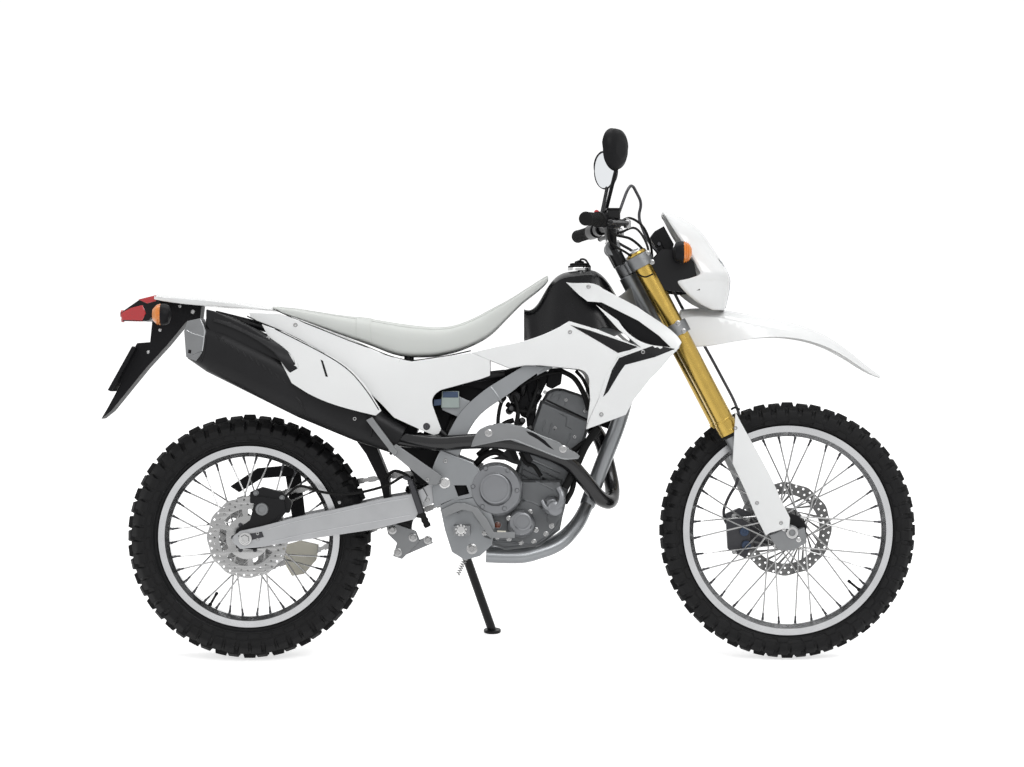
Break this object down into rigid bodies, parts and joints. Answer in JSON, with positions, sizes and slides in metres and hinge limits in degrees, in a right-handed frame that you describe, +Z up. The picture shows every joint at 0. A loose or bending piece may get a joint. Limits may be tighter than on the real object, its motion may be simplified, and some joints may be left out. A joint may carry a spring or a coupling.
{
  "type": "dual sport motorcycle",
  "caption": "Tall road-and-trail motorcycle with long fork, high front fender, slim seat and tank, wire wheels with knobby tyres, parked leaning on its side stand.",
  "frame": {"origin": "middle of the bounding box at ground level, with the motorcycle leaning on its side stand", "axes": "+Z up, +X the way it drives, +Y to the rider's left, which is the side it leans to"},
  "size_m": [2.1838, 0.8038, 1.4319],
  "materials": {
    "frame_silver": "silver metallic paint",
    "black_steel": "satin black",
    "bare_alloy": "satin alloy",
    "bright_steel": "bright steel",
    "engine_grey": "dark grey castings",
    "black_plastic": "textured black",
    "black_gloss": "satin black moulding",
    "muffler_grey": "dark grey heat-proof paint",
    "seat_cover": "grained pale cover",
    "white_plastic": "glossy white",
    "red_lens": "red lens",
    "amber_lens": "amber lens",
    "clear_lens": "clear headlight lens",
    "gold_tube": "gold anodised",
    "rubber": "ribbed rubber",
    "tyre": "knobby tyre rubber"
  },
  "bodies": {
    "chassis": {"frame_main": "frame_silver", "frame_cradle": "frame_silver", "pivot_plates": "frame_silver", "subframe": "black_steel", "swingarm": "bare_alloy", "rear_axle": "bright_steel", "rear_suspension": "black_steel", "engine_block": "engine_grey", "engine_covers": "engine_grey", "intake_box": "black_plastic", "exhaust_pipe": "black_steel", "heat_shield": "bare_alloy", "muffler": "muffler_grey", "fuel_tank": "black_gloss", "fuel_cap": "black_plastic", "seat": "seat_cover", "rear_fender": "white_plastic", "tail_lamp": "red_lens", "plate_bracket": "black_plastic", "rear_signals": "amber_lens", "drive_chain": "bright_steel", "chain_guard": "black_plastic", "footpegs": "black_steel", "foot_levers": "black_steel", "rear_brake": "black_steel", "radiator": "black_steel", "muffler_cover": "black_plastic", "muffler_cap": "bare_alloy", "shroud_strips": "white_plastic", "front_shrouds": "white_plastic", "side_panels": "white_plastic", "side_covers": "white_plastic", "rear_panels": "white_plastic"},
    "steering": {"fork_clamps": "bare_alloy", "fork_outer_tubes": "gold_tube", "fork_lowers": "bright_steel", "fork_guards": "white_plastic", "handlebar": "black_steel", "grips": "rubber", "bar_controls": "black_steel", "mirrors": "black_plastic", "headlight_cowl": "white_plastic", "headlight": "clear_lens", "cowl_stay": "black_steel", "meter": "black_plastic", "front_fender": "white_plastic", "front_signals": "amber_lens", "front_caliper": "black_steel"},
    "front_wheel": {"front_tyre": "tyre", "front_rim": "bare_alloy", "front_spokes": "bright_steel", "front_hub": "black_steel", "front_disc": "bright_steel"},
    "rear_wheel": {"rear_tyre": "tyre", "rear_rim": "bare_alloy", "rear_spokes": "bright_steel", "rear_hub": "black_steel", "rear_disc": "bright_steel", "rear_sprocket": "bright_steel"},
    "side_stand": {"side_stand": "black_steel"}
  },
  "joints": [
    {"name": "steering_turn", "type": "hinge", "parent": "chassis", "child": "steering", "pos_m": [0.86038, -0.21118, 0.00091], "axis": [-0.463, 0.1615, 0.8715], "range_deg": [-45, 45]},
    {"name": "front_wheel_spin", "type": "hinge", "parent": "steering", "child": "front_wheel", "pos_m": [0.74738, -0.1484, 0.33965], "axis": [0, 0.9833, -0.1822], "continuous": true},
    {"name": "rear_wheel_spin", "type": "hinge", "parent": "chassis", "child": "rear_wheel", "pos_m": [-0.69762, -0.1514, 0.32342], "axis": [0, 0.9833, -0.1822], "continuous": true},
    {"name": "side_stand_fold", "type": "hinge", "parent": "chassis", "child": "side_stand", "pos_m": [-0.13147, -0.00903, 0.26849], "axis": [0, 0.9753, 0.221], "range_deg": [0, 100]}
  ]
}
